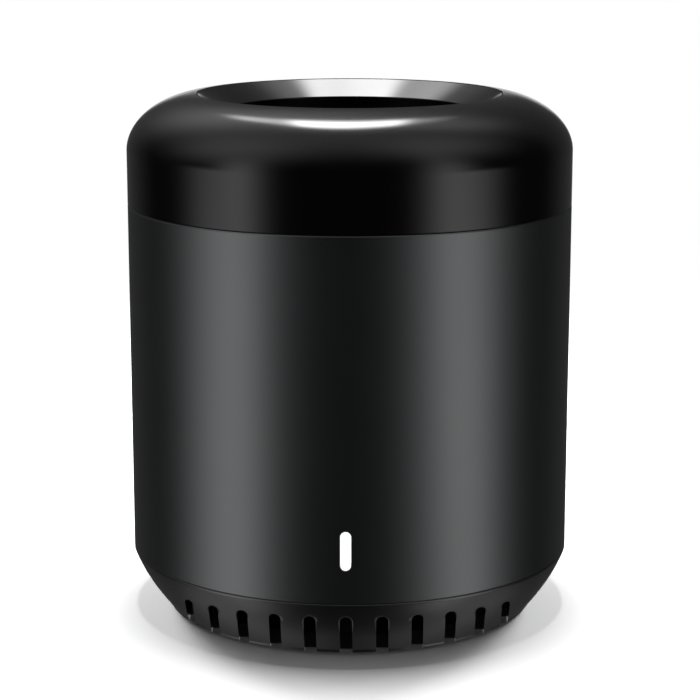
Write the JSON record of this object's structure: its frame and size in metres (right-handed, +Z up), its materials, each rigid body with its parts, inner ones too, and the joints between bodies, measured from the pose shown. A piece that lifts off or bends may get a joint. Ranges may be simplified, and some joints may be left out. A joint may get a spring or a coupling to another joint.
{
  "type": "smart ir blaster",
  "caption": "Round table-top infrared remote hub: black cap with a sunken dish, satin sleeve, status window, vented base, rear power socket and reset pinhole.",
  "frame": {"origin": "centre of the rubber foot's underside, on the surface that the hub stands on", "axes": "+Z up through the cap, the status window faces -Y, the power socket faces +Y, +X is on the right seen from the front"},
  "size_m": [0.056, 0.056, 0.066],
  "materials": {
    "sleeve_satin": "satin charcoal coat with a fine grain",
    "cap_gloss": "polished black that lets infrared through",
    "dish_satin": "black with a fine satin sheen",
    "base_black": "satin moulded black",
    "foot_rubber": "matt",
    "screw_steel": "zinc plated",
    "ballast_steel": "plain pressed steel",
    "window_white": "milky diffuser",
    "frame_plastic": "moulded black",
    "board_green": "solder mask over glass-fibre board",
    "tinned_steel": "tinned sheet",
    "contact_gold": "gold plated",
    "component_black": "moulded epoxy",
    "button_white": "moulded",
    "capacitor_can": "satin can",
    "ferrite": "sintered ferrite",
    "chip_ceramic": "ceramic",
    "socket_ivory": "nylon",
    "ribbon_grey": "soft vinyl",
    "emitter_epoxy": "clear tinted epoxy"
  },
  "bodies": {
    "housing": {"housing_sleeve": "sleeve_satin", "top_cap": "cap_gloss", "dish_ring": "dish_satin", "dish_floor": "cap_gloss", "vent_base": "base_black", "foot_ring": "foot_rubber", "base_screws": "screw_steel", "ballast_disc": "ballast_steel", "status_window": "window_white", "port_bezel": "base_black", "inner_frame": "frame_plastic", "main_board": "board_green", "usb_shell": "tinned_steel", "usb_tongue": "component_black", "usb_contacts": "contact_gold", "reset_switch": "component_black", "wifi_module": "board_green", "wifi_chip": "component_black", "wifi_shield": "tinned_steel", "wifi_antenna": "contact_gold", "voltage_regulator": "component_black", "capacitors": "capacitor_can", "power_inductor": "ferrite", "driver_transistors": "component_black", "chip_parts": "chip_ceramic", "status_led": "window_white", "link_sockets": "socket_ivory", "link_ribbon": "ribbon_grey", "ir_board": "board_green", "ir_leds": "emitter_epoxy", "ir_led_leads": "tinned_steel", "ir_receiver": "component_black", "receiver_leads": "tinned_steel", "board_screws": "screw_steel"},
    "reset_button": {"reset_plunger": "button_white"}
  },
  "joints": [
    {"name": "reset_press", "type": "slide", "parent": "housing", "child": "reset_button", "axis": [0, -1, 0], "range_m": [0, 0.0003], "stiffness_N_per_m": 4000}
  ]
}
